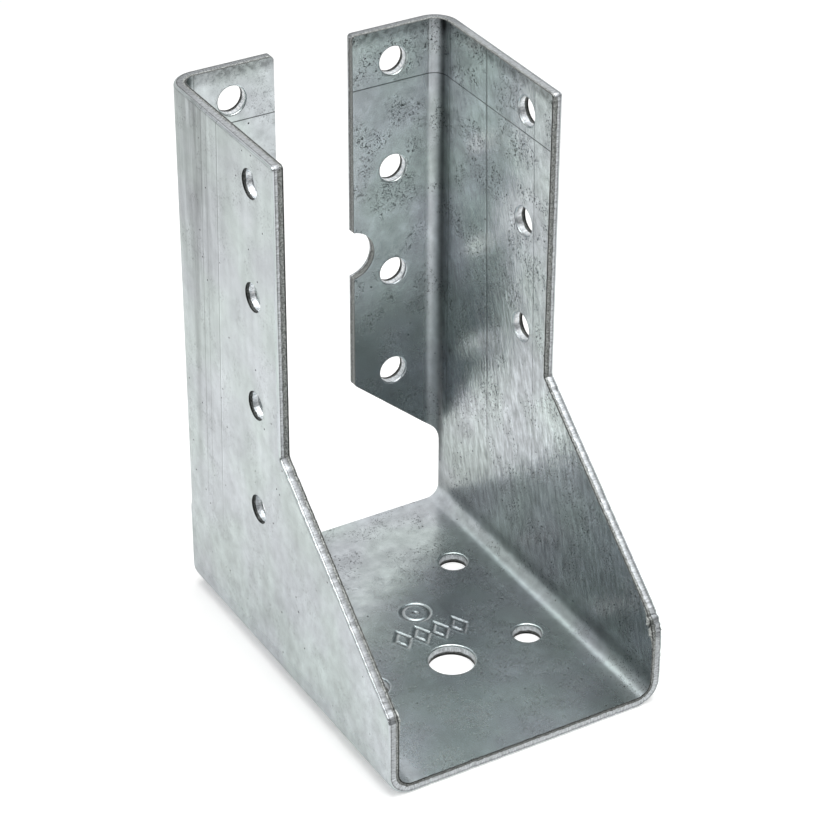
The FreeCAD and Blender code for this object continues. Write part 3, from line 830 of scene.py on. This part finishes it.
def zinc_material(blank, finish):
    """Hot-dip galvanised sheet steel, weathered a little: dull grey-green zinc that mirrors softly,
    clouded, streaked by the roller, with curly dark specks and a few pits."""
    material, nodes = new_material("galvanised_zinc")
    place = SheetPlace(nodes, 80.0)
    bend_line = blank.bend_line * MM
    cheek = nodes.product(place.past_s(34, 24), place.past_v(bend_line, bend_line + 2))
    inside = nodes.product(cheek, place.on_skin[INNER])
    texture = zinc_texture(nodes, place, cheek)
    dark = zinc_specks(nodes, place)
    marks = zinc_marks_and_painted_light(nodes, place, blank)

    # The two shades of zinc. The colour sockets of a Mix node are its inputs 6 and 7 and output 2.
    tint = nodes.add("TexNoise", waves(place.point, TINT, 2))
    shades = {"Factor": nodes.fade(tint, 0.35, 0.65), 6: finish.zinc_blue, 7: finish.zinc_green}
    pale = nodes.add("Mix", shades, output=2, data_type="RGBA")

    # The clouds, and the texture, which is strongest low inside the cheeks.
    clouds = nodes.add("TexNoise", waves(place.point, CLOUD, 5, 0.62))
    dull = nodes.add("MapRange", ranges(clouds, 0.30, 0.70, 0.935, 1.245))
    strength = nodes.add("MapRange", ranges(inside, 0, 1, 0.75, 1.7))
    lower = nodes.product(inside, place.past_s(55, 85))
    strength = nodes.add("Math", {0: lower, 1: strength}, operation="ADD")
    centred = nodes.add("Math", {0: texture, 1: 0.5}, operation="SUBTRACT")
    uneven = nodes.product(centred, strength)
    worked = nodes.add("Math", {0: uneven, 1: 1.0}, operation="ADD")
    kept = nodes.product(dull, worked, nodes.kept(dark), marks)

    # Zinc is rougher in specks and pits, where a bend cracked it, and on the seat.
    clean = finish.zinc_roughness
    rough = nodes.add("MapRange", ranges(texture, 0.30, 0.70, clean + 0.03, clean - 0.03))
    seat_bend = nodes.near(place.along, (blank.flat_edge + blank.bend / 2) * MM, 6.5)
    flange_bend = nodes.near(place.v, bend_line + blank.bend / 2 * MM, 4.5)
    cracked = nodes.add("Math", {0: seat_bend, 1: flange_bend}, operation="MAXIMUM")
    seat = place.past_s(18, 24)
    for mask, extra in ((dark, 0.25), (cracked, 0.27), (seat, 0.05)):
        rough = nodes.add("Math", {0: mask, 1: extra, 2: rough}, operation="MULTIPLY_ADD")

    # Millimetres of height: the texture's waviness, and the pits and marks cut in.
    calm = nodes.add("MapRange", ranges(seat, 0, 1, 0.04, 0.012))
    relief = nodes.product(uneven, calm)
    for mask, height in ((dark, -0.01), (marks, 0.02)):
        relief = nodes.add("Math", {0: mask, 1: height, 2: relief}, operation="MULTIPLY_ADD")
    finish_metal(nodes, pale, kept, rough, relief)
    return material


def burnished_material(blank, finish):
    """Zinc and bare steel that the blade smeared smooth: bright, and scratched across the edge. The
    top edges are older cuts and duller, the walls of the nail holes in the cheeks and flanges are
    lighter as a painted reflection, and a dark line parts the rolled lip from the cut."""
    material, nodes = new_material("burnished_steel_edge")
    place = SheetPlace(nodes, 0.5)
    grains = nodes.add("TexNoise", waves(place.point, BURNISHED_GRAIN, 4, 0.7))
    kept = nodes.add("MapRange", ranges(grains, 0.36, 0.64, 0.58, 1.30))
    top, bend_line = blank.up(blank.top) * MM, blank.bend_line * MM
    flange = place.past_v(bend_line, bend_line - 6)
    flange = nodes.add("MapRange", ranges(flange, 0, 1, 0.22, 0.50))
    at_top = nodes.product(place.past_s(top - 0.2, top - 0.6), flange)
    slant = nodes.product(place.past_s(66, 72), 0.20)
    front = nodes.product(place.past_s(24, 30), -0.24)
    line = nodes.product(nodes.near(place.skin, -0.50, 0.18), 0.5)
    in_hole = nodes.add("Attribute", attribute_name="punched", output="Fac")
    # Painted reflection: the nail holes in the cheeks and flanges are lighter in colour.
    painted_hole_reflection = nodes.product(in_hole, place.past_s(30, 24), -0.6)
    kept = nodes.product(kept, nodes.kept(at_top, slant, front, line, painted_hole_reflection))
    relief = nodes.product(grains, 0.025)
    finish_metal(nodes, finish.burnished[:3], kept, finish.burnished_roughness, relief)
    return material


def broken_material(finish):
    """Bare steel that broke off under the blade: warm grey, matt and grainy, with a line of painted
    shade under the sharp corner, more painted shade inside the holes, and bright on the torn burrs."""
    material, nodes = new_material("broken_steel_edge")
    place = SheetPlace(nodes, 2.0)
    grains = nodes.add("TexNoise", waves(place.point, BROKEN_GRAIN, 4, 0.7))
    kept = nodes.add("MapRange", ranges(grains, 0.36, 0.66, 0.35, 1.7))
    from_middle = nodes.add("Math", {0: place.skin}, operation="ABSOLUTE")
    # Painted shade: a dark line under the sharp corner.
    line = nodes.product(nodes.near(from_middle, 0.86, 0.20), 0.88)
    # Painted shade: the broken band inside the holes is darker.
    in_hole = nodes.product(place.on_skin[OUTER], 0.75)
    on_seat = nodes.product(place.past_s(24, 30), place.on_skin[INNER], 0.45)
    torn = nodes.product(nodes.fade(from_middle, 1.12, 1.0), -0.6)
    kept = nodes.product(kept, nodes.kept(line, in_hole, on_seat, torn))
    relief = nodes.product(grains, 0.10)
    finish_metal(nodes, finish.broken[:3], kept, finish.broken_roughness, relief)
    return material


def add_object(name, data):
    """A new object in the scene."""
    made = bpy.data.objects.new(name, data)
    bpy.context.scene.collection.objects.link(made)
    return made


def add_light(name, place, aim, size, power):
    """A rectangular soft light at a place, aimed at a point."""
    data = bpy.data.lights.new(name, "AREA")
    data.shape = "RECTANGLE"
    data.size, data.size_y = size
    data.energy = power
    lamp = add_object(name, data)
    lamp.location = place
    lamp.rotation_euler = (Vector(aim) - Vector(place)).to_track_quat("-Z", "Y").to_euler()


def set_world(stage):
    """White to the eye and in the metal, and a soft grey studio to everything else."""
    world = bpy.data.worlds.new("studio")
    world.use_nodes = True
    bpy.context.scene.world = world
    nodes = Nodes(world.node_tree)
    path = nodes.add("LightPath").node.outputs
    seen = path["Is Camera Ray"]
    for ray in ("Is Glossy Ray", "Is Transmission Ray"):
        seen = nodes.add("Math", {0: seen, 1: path[ray]}, operation="MAXIMUM")
    shade = nodes.add("MapRange", ranges(seen, 0, 1, stage.world_light, 1.0))

    # Metal also sees a dim room low in front of the hanger, and a less dim one high on the left.
    toward = nodes.add("SeparateXYZ", {"Vector": nodes.add("TexCoord")}).node.outputs
    ahead, low = nodes.fade(toward["Y"], -0.50, -0.15), nodes.fade(toward["Z"], 0.60, 0.80)
    left, high = nodes.fade(toward["X"], -0.45, 0.35), nodes.fade(toward["Z"], 0.45, 0.25)
    front = nodes.product(ahead, low, stage.room_shade)
    side = nodes.product(left, high, stage.side_shade)
    dim = nodes.add("Math", {0: front, 1: side}, operation="MAXIMUM")
    dim = nodes.product(path["Is Glossy Ray"], dim)
    strength = nodes.add("Math", {0: shade, 1: dim}, operation="SUBTRACT")
    background = world.node_tree.nodes["Background"]
    background.inputs["Color"].default_value = linear("FFFFFF")
    nodes.feed(background.inputs["Strength"], strength)


def add_floor(stage):
    """A wide floor of matt white board, of which the eye sees only the hanger's soft shadow."""
    mesh = bpy.data.meshes.new("floor")
    reach = 3.0
    corners = [(-reach, -reach, 0), (reach, -reach, 0), (reach, reach, 0), (-reach, reach, 0)]
    mesh.from_pydata(corners, [], [(0, 1, 2, 3)])
    floor = add_object("floor", mesh)
    material, nodes = new_material("pale_floor")
    path = nodes.add("LightPath").node.outputs
    gloss = nodes.product(path["Is Glossy Ray"], stage.floor_gloss)
    seen = nodes.add(
        "Math", {0: path["Is Camera Ray"], 1: path["Is Transmission Ray"]}, operation="MAXIMUM")
    glow = nodes.add("Math", {0: seen, 1: stage.floor_glow, 2: gloss}, operation="MULTIPLY_ADD")
    values = {
        "Base Color": stage.floor_colour, "Roughness": 0.9, "Specular IOR Level": 0.1,
        "Emission Color": linear("FFFFFF"), "Emission Strength": glow}
    for name, value in values.items():
        nodes.feed(nodes.shader.inputs[name], value)
    mesh.materials.append(material)


def add_camera(stage):
    """The photograph's camera."""
    back = Vector((
        math.sin(stage.azimuth) * math.cos(stage.elevation),
        -math.cos(stage.azimuth) * math.cos(stage.elevation),
        math.sin(stage.elevation)))
    right = Vector((math.cos(stage.azimuth), math.sin(stage.azimuth), 0))
    up = back.cross(right)
    turned = Matrix((right, up, back)).transposed() @ Matrix.Rotation(stage.roll, 3, "Z")
    data = bpy.data.cameras.new("photo_camera")
    data.lens = stage.lens
    data.sensor_width = 36
    data.clip_start = 0.01
    camera = add_object("photo_camera", data)
    target = Vector((0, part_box(CAD_NODE)[1].y, 0)) + Vector(stage.target)
    camera.matrix_world = Matrix.Translation(target + back * stage.distance) @ turned.to_4x4()
    bpy.context.scene.camera = camera


class OBJECT_OT_fold_hanger(bpy.types.Operator):
    """Fold the punched blank into the hanger"""

    bl_idname = "object.fold_hanger"
    bl_label = "Fold hanger"

    def execute(self, context):
        scene = context.scene
        blank = Blank(scene.hanger_fold)
        mesh = sheet_mesh(blank, scene.hanger_fold, scene.hanger_punching, scene.hanger_edge)
        finish = scene.hanger_finish
        mesh.materials.append(zinc_material(blank, finish))
        mesh.materials.append(burnished_material(blank, finish))
        mesh.materials.append(broken_material(finish))
        piece = add_object("hanger_sheet", mesh)
        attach(piece, "root")
        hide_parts(CAD_NODE)
        return {"FINISHED"}


class OBJECT_OT_set_hanger_stage(bpy.types.Operator):
    """Set the floor, the lights and the camera round the hanger"""

    bl_idname = "object.set_hanger_stage"
    bl_label = "Set stage"

    def execute(self, context):
        stage = context.scene.hanger_stage
        context.scene.view_settings.view_transform = "Standard"
        add_floor(stage)
        set_world(stage)
        middle = (0, 0, 0.045)
        add_light("top_softbox", (0.0, -0.02, 0.38), middle, (0.32, 0.32), stage.top_power)
        add_light("front_softbox", (0.02, -0.48, 0.62), middle, (0.4, 0.3), stage.front_power)
        add_camera(stage)
        return {"FINISHED"}


class VIEW3D_PT_hanger(bpy.types.Panel):
    """Makes the hanger and its stage"""

    bl_label = "Joist hanger"
    bl_space_type = "VIEW_3D"
    bl_region_type = "UI"
    bl_category = "Hanger"

    def draw(self, context):
        for operator in OPERATORS:
            self.layout.operator(operator.bl_idname)


GROUPS = {
    "hanger_fold": HangerFold,
    "hanger_punching": HangerPunching,
    "hanger_edge": HangerEdge,
    "hanger_finish": HangerFinish,
    "hanger_stage": HangerStage,
}
OPERATORS = (OBJECT_OT_fold_hanger, OBJECT_OT_set_hanger_stage)


def register():
    for name, group in GROUPS.items():
        bpy.utils.register_class(group)
        setattr(bpy.types.Scene, name, PointerProperty(type=group))
    for operator in OPERATORS:
        bpy.utils.register_class(operator)
    bpy.utils.register_class(VIEW3D_PT_hanger)


def unregister():
    bpy.utils.unregister_class(VIEW3D_PT_hanger)
    for operator in reversed(OPERATORS):
        bpy.utils.unregister_class(operator)
    for name, group in reversed(GROUPS.items()):
        delattr(bpy.types.Scene, name)
        bpy.utils.unregister_class(group)


def main():
    """Registers the add-on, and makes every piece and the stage."""
    register()
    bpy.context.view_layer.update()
    bpy.ops.object.fold_hanger()
    bpy.ops.object.set_hanger_stage()


if __name__ == "__main__":
    main()
